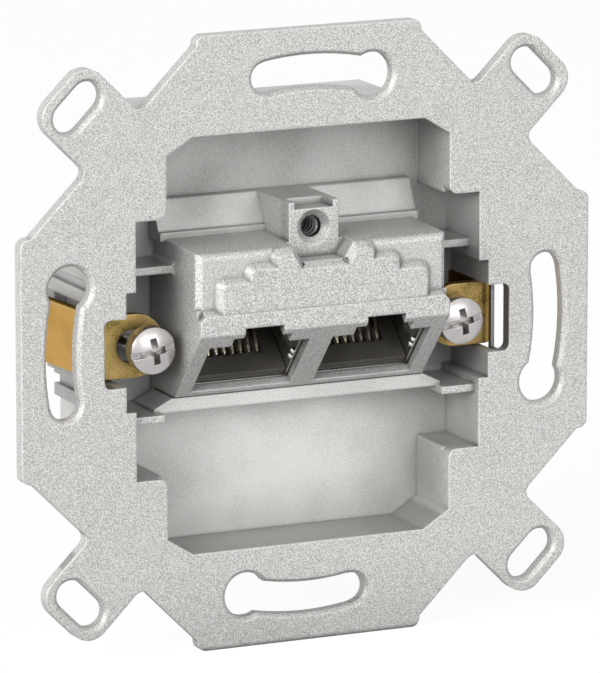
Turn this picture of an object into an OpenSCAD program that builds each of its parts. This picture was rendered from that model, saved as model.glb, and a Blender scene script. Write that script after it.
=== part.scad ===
// Two-port angled data socket insert for a flush wall box, millimetres.
// X runs to the right, Y into the wall and Z up.
// The origin is the middle of the plate's rear face.

/* [Plate] */
// Width and height of the plate over its straight sides
plate_size = 71; // [68:0.5:76]
// Thickness of the plate
plate_thickness = 1.6; // [1.2:0.1:2.2]
// Size of the plate across its diagonal edges
diagonal_size = 68.3; // [66.5:0.1:70]
// Length of each straight side
side_length = 28; // [25:0.5:30]
// Radius at the ends of each straight side
side_corner_r = 1; // [0.4:0.1:1.6]
// Width of each fixing ear
ear_width = 9; // [8:0.1:11]
// Distance from the centre to the end of an ear
ear_reach = 43.3; // [42.6:0.1:46]
// Radius at the end corners of an ear
ear_corner_r = 2.6; // [1:0.1:3.5]
// Radius where an ear joins the diagonal edge
ear_root_r = 1; // [0.4:0.1:2]
// Distance from the centre to the middle of an ear hole
ear_hole_at = 40.2; // [39.6:0.1:40.6]
// Width of an ear hole
ear_hole_width = 3.5; // [2.6:0.1:3.9]
// Length of an ear hole
ear_hole_length = 6.7; // [5:0.1:7]
// Bevel on the front rim of the holes and slots
rim_bevel = 0.4; // [0.1:0.05:0.6]

/* [Box screw slots] */
// Distance from a straight side to the middle of the slots
slot_inset = 4.95; // [4.6:0.05:5.3]
// Width of a slot
slot_width = 3.7; // [3.2:0.1:4.1]
// Angle from the axis to the narrow end of a slot
slot_narrow_angle = 10; // [6:0.5:13]
// Angle from the axis to the keyhole end of a slot
slot_key_angle = 15; // [11:0.5:17]
// Diameter of the keyhole end
slot_key_d = 5.2; // [4.6:0.1:6]

/* [Opening] */
// Width of the narrow part of the opening
opening_width = 35.4; // [34.2:0.1:36.4]
// Height of the narrow part of the opening
opening_height = 48.1; // [47.6:0.1:49.4]
// Sideways size of the corner cuts of the opening
corner_cut_x = 3.2; // [1.5:0.1:4]
// Upright size of the corner cuts of the opening
corner_cut_z = 2; // [1:0.1:3]
// Width of the wide part of the opening
step_width = 43; // [42.4:0.1:43.6]
// Height of the wide part of the opening
step_height = 29.9; // [28.6:0.1:31]
// Width of the opening at the claw wells
well_width = 45.4; // [45:0.1:45.8]
// Height of the claw wells at their widest
well_height = 13.8; // [12.8:0.1:14.6]
// Width over the two claw notches in the plate
notch_width = 50.8; // [50.4:0.1:52]
// Height of each claw notch
notch_height = 7.9; // [7.9:0.1:8.4]
// Radius at the outer corners of a claw notch
notch_r = 0.8; // [0.3:0.1:1.5]
// Radius at the inward corners of the opening
inward_r = 1; // [0.4:0.1:1.6]

/* [Tub] */
// Depth of the tub floor below the plate's front
tub_depth = 8.5; // [7.8:0.1:8.9]
// Thickness of the tub floor
floor_thickness = 1.2; // [0.8:0.1:1.6]
// Thickness of the tub walls
wall_thickness = 1.2; // [1:0.1:1.4]
// Depth of the claw wells below the plate's front
well_depth = 9.6; // [9.4:0.1:10.2]
// Depth of the housing's rear rim below the plate's front
body_depth = 18; // [17.6:0.1:19.5]
// Height of the wide part of the body behind the tub floor
rear_step_height = 22.6; // [21:0.1:24]
// Height of the middle of the groove along each side of the body
groove_at = 6.1; // [5.9:0.1:6.4]
// Height of the side groove
groove_height = 1.2; // [0.6:0.1:1.6]
// Depth of the side groove
groove_depth = 0.7; // [0.2:0.05:0.8]

/* [Jack hood] */
// Width of the jack hood
hood_width = 31.1; // [30.9:0.1:31.5]
// How far the hood's upper face stands in front of the plate
hood_reach = 3.5; // [3.3:0.05:3.6]
// Height of the hood's roof at its front
roof_front = 11.3; // [11.1:0.05:11.5]
// Height of the hood's roof at the tub floor
roof_back = 11.7; // [11.5:0.1:12]
// Radius along the front edge of the hood's roof
roof_r = 0.8; // [0.4:0.1:1]
// Width of the bevel at the sides of the hood's face and visor
hood_bevel = 0.6; // [0.3:0.1:0.8]
// How far the visor stands in front of the plate
visor_reach = 4.5; // [4.4:0.05:4.8]
// Height of the visor's upper edge
visor_top = 4.3; // [3.8:0.1:4.8]
// Rise of the slope above the visor
visor_slope = 0.6; // [0.3:0.1:1]
// Height of the visor's lower edge
mouth_top = 2; // [1.7:0.1:2.3]
// Tilt of the mouth plane from the plate
mouth_tilt = 41; // [40:0.5:42]
// Length of the mouth plane down its slope
mouth_length = 10.9; // [10.7:0.1:11.2]
// Half width of the lowest stair of the relief
stair_1_half = 13.4; // [12.4:0.1:14.6]
// Height of the top of the lowest stair
stair_1_top = 8.45; // [7.6:0.05:8.9]
// Half width of the middle stair of the relief
stair_2_half = 9.85; // [8.8:0.05:11.2]
// Height of the top of the middle stair
stair_2_top = 9.9; // [9.4:0.05:10.4]
// Half width of the highest stair of the relief
stair_3_half = 6.65; // [5.6:0.05:8]
// How far the stairs stand out of the hood's face
relief_height = 0.9; // [0.5:0.05:0.95]
// Sideways run of the sloping walls of the stairs
relief_draft = 0.7; // [0.4:0.05:0.8]
// Radius at the upper corners of the stairs
stair_r = 1.2; // [0.9:0.1:1.4]
// Half width of the two sloping strips over the roof
strip_half = 16.2; // [15.8:0.1:17]
// Height of the top of the sloping strips
strip_top = 15.8; // [15:0.1:16.4]
// Depth of the top of the strips below the plate's front
strip_top_depth = 7.4; // [7:0.1:7.6]
// Depth of the foot of the strips below the plate's front
strip_foot_depth = 5.8; // [5.2:0.1:6.4]
// Height of the small step at the foot of the strips
strip_step = 0.6; // [0.3:0.05:0.9]
// Half width of the ledge below the mouths
ledge_half = 18; // [17:0.1:19.5]
// Depth of the ledge's face below the plate's front
ledge_depth = 3; // [2.6:0.1:3.4]
// Height of the ledge's upper edge
ledge_top = -6.4; // [-6.6:0.1:-6.2]
// Height of the ledge's lower edge
ledge_foot = -8; // [-8.8:0.1:-7.4]
// Sideways size of the cut at the ledge's upper corners
ledge_cut_x = 2.2; // [1:0.1:2.4]
// Upright size of the cut at the ledge's upper corners
ledge_cut_z = 1.1; // [0.4:0.1:1.2]

/* [Boss] */
// Width of the boss for the cover screw
boss_width = 6.2; // [5.6:0.1:7]
// How far the boss stands in front of the plate
boss_reach = 1.1; // [0.6:0.1:1.6]
// Height of the top of the boss
boss_top = 15.8; // [15.4:0.1:16.6]
// Width of the slot in the boss's top
boss_slot_width = 4.8; // [3.6:0.1:5.2]
// Depth of the slot from the boss's face
boss_slot_depth = 2.7; // [1.6:0.1:3.6]
// Height of the slot in the boss's top
boss_slot_height = 0.8; // [0.4:0.1:0.9]
// Height of the middle of the cover screw hole
boss_hole_at = 12.8; // [12.7:0.1:12.9]
// Diameter of the cover screw hole
boss_hole_d = 2.5; // [2:0.1:2.8]
// Depth of the cover screw hole
boss_hole_depth = 7; // [5:0.1:8]
// Diameter of the countersink of the cover screw hole
boss_sink_d = 4.1; // [3.4:0.1:4.2]
// Half width of the notch below the boss at its top
notch_top_half = 4; // [3.5:0.1:4.8]
// Half width of the notch below the boss at its foot
notch_foot_half = 2.6; // [2:0.1:3.2]
// Height of the foot of the notch below the boss
notch_foot = 9.5; // [9.2:0.1:10]

/* [Ribs] */
// Thickness of the ribs above and below the claw wells
rib_thickness = 0.85; // [0.6:0.05:1.2]
// Height of the underside of the upper ribs
upper_rib_at = 8.2; // [7.6:0.1:8.6]
// Flare of the upper ribs where they meet the hood
rib_flare = 0.5; // [0.2:0.1:0.8]
// Depth of the upper ribs' front below the plate's front
upper_rib_depth = 2.6; // [1.8:0.1:3.4]
// Height of the upper side of the lower ribs
lower_rib_at = -7.8; // [-8.2:0.1:-7.6]
// Depth of the lower ribs' front below the plate's front
lower_rib_depth = 1.2; // [0.6:0.1:2]
// Distance from the centre to the inner end of a lower rib
lower_rib_from = 17.4; // [16.6:0.1:17.8]

/* [Jacks] */
// Distance between the middles of the two jacks
port_pitch = 15.24; // [15.2:0.02:15.36]
// Width of each mouth in the hood
mouth_width = 12.4; // [12:0.1:12.6]
// Thickness of the rim around the mouths
mouth_rim = 1; // [0.8:0.05:1.1]
// Distance from the visor to a mouth's upper edge
mouth_lip = 2.1; // [1.8:0.1:2.3]
// Distance from the visor to a mouth's lower edge
mouth_foot = 10.2; // [10:0.1:10.4]
// Width of the latch cut nearest the mouth
latch_wide = 7.2; // [6.4:0.1:7.8]
// Distance from the visor to the top of that latch cut
latch_wide_top = 0.75; // [0.5:0.05:1.1]
// Width of the latch cut in the visor
latch_narrow = 4.8; // [4.2:0.1:5.4]
// Rise of the latch cut above the visor's lower edge
latch_narrow_rise = 0.45; // [0.2:0.05:0.6]
// Width of a jack body
jack_width = 13.2; // [13:0.1:13.3]
// Depth of a jack body from the mouth plane to its back
jack_back = 12; // [11.6:0.1:12.2]
// Gap between a jack body and the housing
jack_gap = 0.15; // [0.05:0.05:0.2]
// Width of the plug space
plug_width = 11.9; // [11.7:0.05:12]
// Distance from the visor to the floor of the plug space
plug_floor = 9.3; // [9.1:0.1:9.5]
// Thickness of a jack body's back wall
jack_back_wall = 1; // [0.7:0.1:1.4]
// Thickness of the jack shields
shield_thickness = 0.25; // [0.15:0.05:0.3]
// Depth of the jack shields behind the mouth rim
shield_depth = 5; // [4:0.1:5.5]
// Height of the bar along the foot of a shield
shield_bar = 0.45; // [0.3:0.05:0.8]
// Width of a shield's spring finger
finger_width = 1.5; // [1:0.1:1.7]
// How far a spring finger stands into the mouth
finger_reach = 0.6; // [0.3:0.05:0.8]
// Thickness of the contact carrier
carrier_thickness = 1.5; // [1.3:0.05:1.55]
// Width of the slots in the contact carrier
carrier_slot = 0.7; // [0.6:0.02:0.8]
// Distance between neighbouring contacts
contact_pitch = 1.016; // [1.005:0.001:1.03]
// Width of a contact wire
contact_width = 0.4; // [0.3:0.02:0.5]
// Thickness of a contact wire
contact_thickness = 0.35; // [0.25:0.02:0.4]
// Rise of a contact wire to its free end
contact_rise = 3; // [2.6:0.1:3.6]
// Slope of a contact wire
contact_slope = 30; // [28:0.5:36]
// Depth behind the mouth plane where a contact rises
contact_from = 4.4; // [3.9:0.1:4.6]
// Number of contacts in each jack and of wires on each terminal block
contact_count = 8; // [4:1:8]

/* [Board and terminals] */
// Width of the circuit board
board_width = 31.8; // [31.2:0.1:32.2]
// Height of the circuit board
board_height = 31.2; // [30.8:0.1:32]
// Thickness of the circuit board
board_thickness = 1.6; // [1:0.1:1.8]
// Gap between the jack bodies and the circuit board
board_gap = 0.5; // [0.2:0.05:0.7]
// Diameter of the board's holes for the contact tails
contact_hole_d = 0.68; // [0.66:0.02:0.76]
// Diameter of the board's holes for the terminal tails
terminal_hole_d = 1.2; // [1.1:0.05:1.5]
// Distance from the board's sides to its screws
board_screw_inset_x = 2.7; // [2.4:0.1:3.1]
// Distance from the board's upper and lower edges to its screws
board_screw_inset_z = 2.1; // [2:0.1:2.2]
// Diameter of the board screws
board_screw_d = 2; // [1.8:0.05:2.3]
// Diameter of the board screw heads
board_head_d = 3.6; // [3:0.1:3.8]
// Height of the board screw heads
board_head_height = 1.3; // [0.8:0.1:1.8]
// Distance from the board's sides to the ends of a terminal block
block_inset = 0.3; // [0:0.05:0.6]
// Height of a terminal block on the board
block_height = 7.6; // [6.8:0.1:7.8]
// How far a terminal block stands off the board
block_depth = 8.6; // [7.6:0.1:9.6]
// Distance from the centre to the middle of a terminal block
block_at = 7.6; // [7.4:0.1:7.7]
// Distance from a block's ends to its outermost contacts
terminal_end = 1.4; // [1:0.05:1.8]
// Width of the wire slots in a terminal block
wire_slot = 1.1; // [0.8:0.05:1.4]
// Depth of the wire slots in a terminal block
wire_slot_depth = 5.6; // [4:0.1:6.4]
// Width of a terminal contact
terminal_width = 2.5; // [2.1:0.05:2.7]
// Thickness of a terminal contact
terminal_thickness = 0.5; // [0.4:0.05:0.7]
// Width of the slit in a terminal contact
terminal_slit = 0.4; // [0.2:0.02:0.6]
// Depth of the slit in a terminal contact
terminal_slit_depth = 4; // [2.5:0.1:5]
// Distance from a block's rear edge to its contacts
terminal_inset = 0.9; // [0.5:0.1:1.5]
// Width of the tail of a terminal contact
tail_width = 0.8; // [0.5:0.05:0.9]
// How far tails stand out of the board
tail_reach = 0.7; // [0.3:0.1:0.8]

/* [Rear cover] */
// Thickness of the rear cover's flange
cover_thickness = 2; // [1:0.1:2.2]
// Thickness of the rear cover's hood
cover_wall = 1.2; // [0.9:0.1:1.4]
// Half width of the rear cover's hood
cover_half_x = 17.6; // [17.4:0.1:18]
// Half height of the rear cover's hood
cover_half_z = 17; // [16.8:0.1:17.4]
// Room inside the rear cover beside the inlets and behind the terminal blocks
cover_room = 0.6; // [0.3:0.1:1.2]
// Radius of the rear cover's hood corners
cover_r = 2.4; // [1.5:0.1:4]
// Half distance between the cable inlets
inlet_at = 5; // [4.8:0.1:5.2]
// Diameter of a cable inlet
inlet_d = 6.6; // [6:0.1:6.8]
// Height of the inlets' middle above the cover's flange
inlet_lift = 3.7; // [3.55:0.05:3.9]
// Half distance between the clamp screws
clamp_screw_x = 11.4; // [11.2:0.1:11.8]
// Gap between the rear cover's hood and the clamp
clamp_gap = 1.7; // [1.5:0.1:2]
// Width of the clamp along the cables
clamp_width = 4.4; // [3.8:0.1:4.8]
// Thickness of the clamp strip
clamp_thickness = 0.9; // [0.6:0.05:1.1]
// Half distance between the cover screws
cover_screw_x = 13; // [12:0.1:13.4]
// Gap between the rear cover's hood and the heads of the cover screws
cover_screw_gap = 1.5; // [1.1:0.1:1.7]
// Diameter of the clamp and cover screws
small_screw_d = 2.5; // [2:0.1:2.6]
// Diameter of the clamp and cover screw heads
small_head_d = 4.2; // [3.8:0.1:4.4]
// Height of the clamp and cover screw heads
small_head_height = 1.6; // [1.1:0.1:2]
// Length of the clamp and cover screws under the head
small_screw_length = 7; // [5:0.1:8]
// Wall of metal around every screw hole inside the housing
boss_wall = 1; // [0.7:0.05:1.05]
// Gap between a screw and its hole
screw_gap = 0.08; // [0.05:0.01:0.12]
// Width of the driver slot in the small screws
small_slot_width = 0.7; // [0.5:0.05:0.9]
// Depth of the driver slot in the small screws
small_slot_depth = 0.7; // [0.4:0.05:0.8]

/* [Claws] */
// Distance from the centre to a claw screw
claw_screw_x = 19.35; // [19.3:0.05:19.45]
// Depth of a claw's tab below the plate's front
tab_depth = 3.5; // [3.4:0.1:3.9]
// Thickness of a claw
claw_thickness = 1.2; // [1:0.05:1.3]
// Height of a claw
claw_height = 7.3; // [6.9:0.1:7.4]
// Distance from the centre to the outer face of a claw
claw_outer_x = 25; // [24.8:0.05:25.1]
// Outer radius of a claw's bend
claw_bend_r = 1.4; // [1.35:0.05:1.7]
// Length of the boss around a claw screw behind its well
claw_boss_length = 6; // [4:0.1:7.5]
// Length of a claw's arm behind the bend
arm_length = 14; // [11:0.5:16]
// Outward splay of a claw's arm
arm_splay = 6; // [4:0.5:8]
// Depth of the teeth at the end of an arm
tooth_depth = 1.8; // [1:0.1:2.5]
// Distance from the centre to the inner end of a tab
tab_inner_x = 16.5; // [16.3:0.05:16.6]
// Width of the long hole in a tab
tab_hole_width = 3.8; // [3.5:0.1:4.4]
// Distance from the centre to the inner end of the long hole
tab_hole_inner_x = 17.35; // [17.2:0.05:17.4]
// Distance from the centre to the outer end of the long hole
tab_hole_outer_x = 22.4; // [21.8:0.1:22.5]
// Distance from the centre to the body wall behind an arm
arm_wall_x = 22.3; // [22.1:0.05:22.5]
// Room above and below an arm in the housing
arm_gap = 0.3; // [0.25:0.05:0.4]
// Room between a claw and the bridge in front of its bend
bridge_gap = 0.3; // [0.2:0.05:0.5]
// Distance from the centre to the bridge
bridge_x = 24.3; // [24.1:0.05:24.5]
// Width of the bridge
bridge_width = 0.4; // [0.3:0.05:0.6]
// Depth of the bar across the bridge
bridge_bar = 0.7; // [0.5:0.1:1]
// Height of the two posts of the bridge
bridge_post = 1; // [0.6:0.1:1.5]

/* [Claw screws] */
// Diameter of a claw screw
claw_screw_d = 3; // [2.6:0.05:3]
// Length of a claw screw under the head
claw_screw_length = 12; // [10:0.1:12.6]
// Diameter of a claw screw's head
claw_head_d = 5.4; // [5:0.1:5.5]
// Height of the rim of a claw screw's head
claw_head_rim = 2.1; // [1.6:0.1:2.3]
// Bevel under a claw screw's head
claw_head_bevel = 0.45; // [0.2:0.05:0.7]
// Height of the dome of a claw screw's head
claw_head_dome = 0.8; // [0.3:0.05:1]
// Room between a claw screw's head and the tab
head_gap = 1.3; // [0.5:0.05:1.5]
// Width of the slot across a claw screw's head
head_slot_width = 0.8; // [0.6:0.05:1]
// Depth of the slot across a claw screw's head
head_slot_depth = 1; // [0.6:0.05:1.2]
// Length of the cross recess in a claw screw's head
head_cross_length = 3.1; // [2.4:0.1:3.5]
// Depth of the cross recess in a claw screw's head
head_cross_depth = 1.6; // [1.1:0.05:1.8]
// Turn of the recesses in a claw screw's head
head_turn = 10.5; // [0:0.5:45]

/* [Hidden] */
$fn = 48;
eps = 0.5;
hair = 0.05;
half = 1 / 2;
rounding = [0:15:90];
slot_circle = plate_size - 2 * slot_inset;
front_y = -plate_thickness;
floor_y = front_y + tub_depth;
floor_back_y = floor_y + floor_thickness;
well_y = front_y + well_depth;
well_back_y = well_y + floor_thickness;
rim_y = front_y + body_depth;
hood_face_y = front_y - hood_reach;
relief_y = hood_face_y - relief_height;
visor_y = front_y - visor_reach;
boss_y = front_y - boss_reach;
boss_hole_r = boss_hole_d * half;
boss_sink_r = boss_sink_d * half;
port_x = port_pitch * half;
cavity_w = jack_width + 2 * jack_gap;
jack_top = latch_narrow_rise + hair;
jack_foot = plug_floor + carrier_thickness + hair;
shield_side = plug_width * half + shield_thickness + hair;
shield_y = mouth_rim + jack_gap + hair;
jack_front = mouth_rim + jack_gap;
plug_back = jack_back - jack_back_wall;
carrier_front = shield_y + shield_thickness;
carrier_back = plug_back - hair;
carrier_half = plug_width * half - hair;
contact_drop = plug_floor + carrier_thickness * half;
first_contact = -(contact_count - 1) * half * contact_pitch;
jack_corner = at_mouth([jack_back, -jack_foot]);
board_y = jack_corner[0] + board_gap;
board_back_y = board_y + board_thickness;
block_back_y = board_back_y + block_depth;
tail_at = at_mouth([carrier_back, -contact_drop]);
cover_y = rim_y + cover_thickness;
inlet_y = cover_y + inlet_lift;
inlet_r = inlet_d * half;
cover_step_y = block_back_y + cover_room + cover_wall;
cover_back_y = max(cover_step_y, inlet_y + inlet_r + cover_room + cover_wall);
cable_half = inlet_at + inlet_r + cover_room + cover_wall;
clamp_screw_z = cover_half_z + clamp_gap + clamp_width * half;
cover_screw_z = cover_half_z + cover_screw_gap + small_head_d * half;
small_r = small_screw_d * half;
small_boss_r = small_r + screw_gap + boss_wall;
board_screw_r = board_screw_d * half;
board_boss_r = board_screw_r + screw_gap + boss_wall;
claw_screw_r = claw_screw_d * half;
claw_boss_r = claw_screw_r + screw_gap + boss_wall;
tab_y = front_y + tab_depth;
tab_back_y = tab_y + claw_thickness;
head_y = tab_y - head_gap;
bend_x = claw_outer_x - claw_bend_r;
bend_y = tab_y + claw_bend_r;
arm_slot_half = claw_height * half + arm_gap;
claw_boss_end = well_y + claw_boss_length;
board_screw_x = board_width * half - board_screw_inset_x;
board_screw_z = board_height * half - board_screw_inset_z;
block_width = board_width - 2 * block_inset;
terminal_row = block_width - 2 * terminal_end - terminal_width;
terminal_pitch = terminal_row / (contact_count - 1);
first_terminal = -terminal_row * half;

// Point of the mouth frame, given as [inward, upward], in Y and Z
function at_mouth(p) = [
    visor_y + p[0] * cos(mouth_tilt) - p[1] * sin(mouth_tilt),
    mouth_top + p[0] * sin(mouth_tilt) + p[1] * cos(mouth_tilt)
];

// Children drawn in X and Z, run from one depth to another
module along(y0, y1) {
    translate([0, y1, 0])
        rotate([90, 0, 0])
            linear_extrude(height = y1 - y0)
                children();
}

// Children drawn in Y and Z, run from one side to another
module across(x0, x1) {
    translate([x0, 0, 0])
        rotate([90, 0, 90])
            linear_extrude(height = x1 - x0)
                children();
}

// Block between two opposite corners
module block(a, b) {
    translate(a)
        cube(b - a);
}

// Round bar along Y
module bar_y(x, z, y0, y1, r) {
    translate([x, y1, z])
        rotate([90, 0, 0])
            cylinder(h = y1 - y0, r = r);
}

// Cone along Y, r0 at the front and r1 at the back
module cone_y(x, z, y0, y1, r0, r1) {
    translate([x, y1, z])
        rotate([90, 0, 0])
            cylinder(h = y1 - y0, r1 = r1, r2 = r0);
}

// Children as drawn and mirrored to the other side
module both_sides() {
    children();
    mirror([1, 0, 0])
        children();
}

// Children in the frame of the slanted mouths
module in_mouth(x) {
    translate([x, visor_y, mouth_top])
        rotate([mouth_tilt, 0, 0])
            children();
}

// Square corner rounded away, to take off an inward corner
module corner_piece(r) {
    difference() {
        square(r);
        translate([r, r])
            circle(r = r);
    }
}

// Rectangle about the origin with rounded corners
module rounded_rect(w, h, r) {
    square([w - 2 * r, h], center = true);
    square([w, h - 2 * r], center = true);
    for (sx = [-1, 1], sz = [-1, 1])
        translate([sx * (w * half - r), sz * (h * half - r)])
            circle(r = r);
}

// Outline of one ear, pointing along X
module ear_outline() {
    root = diagonal_size * half;
    translate([root * half, 0])
        square([root + hair, ear_width], center = true);
    translate([(ear_reach + root) * half - ear_corner_r * half, 0])
        square([ear_reach - root - ear_corner_r + hair, ear_width], center = true);
    translate([ear_reach * half, 0])
        square([ear_reach, ear_width - 2 * ear_corner_r], center = true);
    for (s = [-1, 1])
        translate([ear_reach - ear_corner_r, s * (ear_width * half - ear_corner_r)])
            circle(r = ear_corner_r);
    for (s = [-1, 1])
        mirror([0, s < 0 ? 1 : 0])
            translate([root, ear_width * half])
                corner_piece(ear_root_r);
}

// Outline of the whole plate
module plate_outline() {
    reach = plate_size * half;
    diagonal = diagonal_size / sqrt(2);
    inner = diagonal - reach;
    for (t = [0, 90])
        rotate(t)
            rounded_rect(side_length, plate_size, side_corner_r);
    polygon([
        [inner, reach - hair], [reach - hair, inner],
        [reach - hair, -inner], [inner, -reach + hair],
        [-inner, -reach + hair], [-reach + hair, -inner],
        [-reach + hair, inner], [-inner, reach - hair]
    ]);
    for (t = [45, 135, 225, 315])
        rotate(t)
            ear_outline();
}

// Outline of the opening, grown by g on every side, with the height of its wide part
module opening_outline(g, wide = step_height) {
    hx = opening_width * half + g;
    hz = opening_height * half + g;
    polygon([
        [corner_cut_x - hx, hz], [hx - corner_cut_x, hz],
        [hx, hz - corner_cut_z], [hx, corner_cut_z - hz],
        [hx - corner_cut_x, -hz], [corner_cut_x - hx, -hz],
        [-hx, corner_cut_z - hz], [-hx, hz - corner_cut_z]
    ]);
    square([step_width + 2 * g, wide + 2 * g], center = true);
    square([well_width + 2 * g, well_height + 2 * g], center = true);
}

// Outline of the opening in the plate, with its rounded inward corners
module plate_opening() {
    opening_outline(0);
    rounded_rect(notch_width, notch_height, notch_r);
    for (sx = [0, 1], sz = [0, 1])
        mirror([sx, 0])
            mirror([0, sz])
                translate([opening_width * half, step_height * half])
                    corner_piece(inward_r);
}

// Outline of the body behind the plate, with the height of its wide part
module body_outline(wide = step_height) {
    outer = well_width * half + wall_thickness;
    difference() {
        opening_outline(wall_thickness, wide);
        for (sx = [-1, 1], sz = [-1, 1])
            translate([sx * outer, sz * groove_at])
                square([2 * groove_depth, groove_height], center = true);
    }
}

// Space in the rear flange below the two claw arms
module arm_spaces() {
    both_sides()
        translate([arm_wall_x, -step_height])
            square([notch_width, step_height - arm_slot_half - wall_thickness]);
}

// Space of one arc slot with its keyhole and bevelled rim
module arc_slot() {
    ri = (slot_circle - slot_width) * half;
    ro = (slot_circle + slot_width) * half;
    sweep = slot_narrow_angle + slot_key_angle;
    t = plate_thickness;
    key_x = slot_circle * half * cos(slot_key_angle);
    key_z = -slot_circle * half * sin(slot_key_angle);
    end_x = slot_circle * half * cos(slot_narrow_angle);
    end_z = slot_circle * half * sin(slot_narrow_angle);
    key_r = slot_key_d * half;
    end_r = slot_width * half - hair;
    rotate([90, 0, 0])
        rotate([0, 0, -slot_key_angle])
            rotate_extrude(angle = sweep)
                polygon([
                    [ri, -eps], [ri, t - rim_bevel],
                    [ri - rim_bevel, t], [ri - rim_bevel, t + eps],
                    [ro + rim_bevel, t + eps], [ro + rim_bevel, t],
                    [ro, t - rim_bevel], [ro, -eps]
                ]);
    bar_y(key_x, key_z, front_y - eps, eps, key_r);
    cone_y(key_x, key_z, front_y, front_y + rim_bevel, key_r + rim_bevel, key_r);
    bar_y(end_x, end_z, front_y - eps, eps, end_r);
    cone_y(end_x, end_z, front_y, front_y + rim_bevel, end_r + rim_bevel, end_r);
}

// Space of one ear hole with its bevelled rim, on the X axis
module ear_hole() {
    r = ear_hole_width * half;
    d = ear_hole_length * half - r;
    y1 = front_y + rim_bevel;
    block([ear_hole_at - r, front_y - eps, -d], [ear_hole_at + r, eps, d]);
    translate([ear_hole_at, 0, -d])
        linear_extrude(height = 2 * d)
            polygon([
                [-r - rim_bevel, front_y], [r + rim_bevel, front_y],
                [r, y1], [-r, y1]
            ]);
    for (s = [-1, 1]) {
        bar_y(ear_hole_at, s * d, front_y - eps, eps, r);
        cone_y(ear_hole_at, s * d, front_y, y1, r + rim_bevel, r);
    }
}

// Stair of the relief, with sloping walls and rounded upper corners
module stair(half_w, top) {
    foot = mouth_top + visor_slope;
    root = hood_face_y + roof_r;
    inner = half_w - stair_r;
    inner_top = top - stair_r;
    r = stair_r - hair;
    translate([0, 0, foot])
        linear_extrude(height = inner_top - foot)
            polygon([
                [-half_w, root], [-half_w, hood_face_y], [relief_draft - half_w, relief_y],
                [half_w - relief_draft, relief_y], [half_w, hood_face_y], [half_w, root]
            ]);
    across(-inner, inner)
        polygon([
            [root, foot], [relief_y, foot], [relief_y, top - relief_draft],
            [hood_face_y, top], [root, top]
        ]);
    for (side = [-inner, inner]) {
        bar_y(side, inner_top, hood_face_y, root, r);
        cone_y(side, inner_top, relief_y, hood_face_y, r - relief_draft, r);
    }
}

// Corners taken off the right side of the hood's face and visor
module hood_bevels() {
    side = hood_width * half;
    top = visor_top + visor_slope;
    translate([0, 0, top])
        linear_extrude(height = roof_back - visor_top)
            polygon([
                [side - hood_bevel, hood_face_y - hair], [side - hood_bevel, hood_face_y],
                [side, hood_face_y + hood_bevel], [side + eps, hood_face_y + hood_bevel],
                [side + eps, hood_face_y - hair]
            ]);
    along(visor_y - eps, hood_face_y)
        polygon([
            [side - hood_bevel, top], [side - hood_bevel, visor_top],
            [side, visor_top - hood_bevel], [side + eps, visor_top - hood_bevel],
            [side + eps, top]
        ]);
}

// Solid of the jack hood with relief, strips and ledge
module hood_solid() {
    lip = at_mouth([0, -mouth_length]);
    side = hood_width * half;
    difference() {
        across(-side, side)
            polygon([
                [floor_y + hair, roof_back],
                each [for (a = rounding) [hood_face_y, roof_front] + roof_r * [1 - sin(a), cos(a) - 1]],
                [hood_face_y, visor_top + visor_slope], [visor_y, visor_top],
                [visor_y, mouth_top], lip, [floor_y + hair, lip[1]]
            ]);
        both_sides()
            hood_bevels();
    }
    stair(stair_1_half, stair_1_top);
    stair(stair_2_half, stair_2_top);
    stair(stair_3_half, roof_front);
    strip_foot = roof_back + strip_step;
    across(-strip_half, strip_half)
        polygon([
            [floor_y + hair, strip_top], [front_y + strip_top_depth, strip_top],
            [front_y + strip_foot_depth, strip_foot],
            [front_y + strip_foot_depth - strip_step, strip_foot],
            [front_y + strip_foot_depth - strip_step, roof_front],
            [floor_y + hair, roof_front]
        ]);
    along(front_y + ledge_depth, floor_y + hair)
        polygon([
            [-ledge_half, ledge_foot], [ledge_half, ledge_foot],
            [ledge_half, ledge_top - ledge_cut_z], [ledge_half - ledge_cut_x, ledge_top],
            [ledge_cut_x - ledge_half, ledge_top], [-ledge_half, ledge_top - ledge_cut_z]
        ]);
}

// Boss for the cover screw, with the slot in its top
module boss_solid() {
    side = boss_width * half;
    slot = boss_slot_width * half;
    difference() {
        block([-side, boss_y, notch_foot], [side, floor_y + hair, boss_top]);
        block(
            [-slot, boss_y - eps, boss_top - boss_slot_height],
            [slot, boss_y + boss_slot_depth, boss_top + eps]
        );
    }
}

// Sloping wall of the relief, to be cut along one edge of the notch
module notch_wall(x0, x1) {
    across(x0, x1)
        polygon([
            [0, 0], [-relief_height, -relief_draft], [-relief_height - eps, -relief_draft],
            [-relief_height - eps, hair], [0, hair]
        ]);
}

// Hole, countersink and notch of the boss
module boss_cuts() {
    sink = boss_sink_r - boss_hole_r;
    rise = [notch_top_half - notch_foot_half, roof_back - notch_foot];
    lap = relief_draft * half;
    bar_y(0, boss_hole_at, boss_y - eps, boss_y + boss_hole_depth, boss_hole_r);
    cone_y(0, boss_hole_at, boss_y, boss_y + sink, boss_sink_r, boss_hole_r);
    along(relief_y - eps, boss_y)
        polygon([
            [-notch_top_half, roof_back], [notch_top_half, roof_back],
            [notch_foot_half, notch_foot], [-notch_foot_half, notch_foot]
        ]);
    translate([0, hood_face_y, notch_foot])
        notch_wall(-notch_foot_half - lap, notch_foot_half + lap);
    both_sides()
        translate([notch_foot_half, hood_face_y, notch_foot])
            rotate([0, -atan2(rise[1], rise[0]), 0])
                notch_wall(-lap, norm(rise));
}

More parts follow.
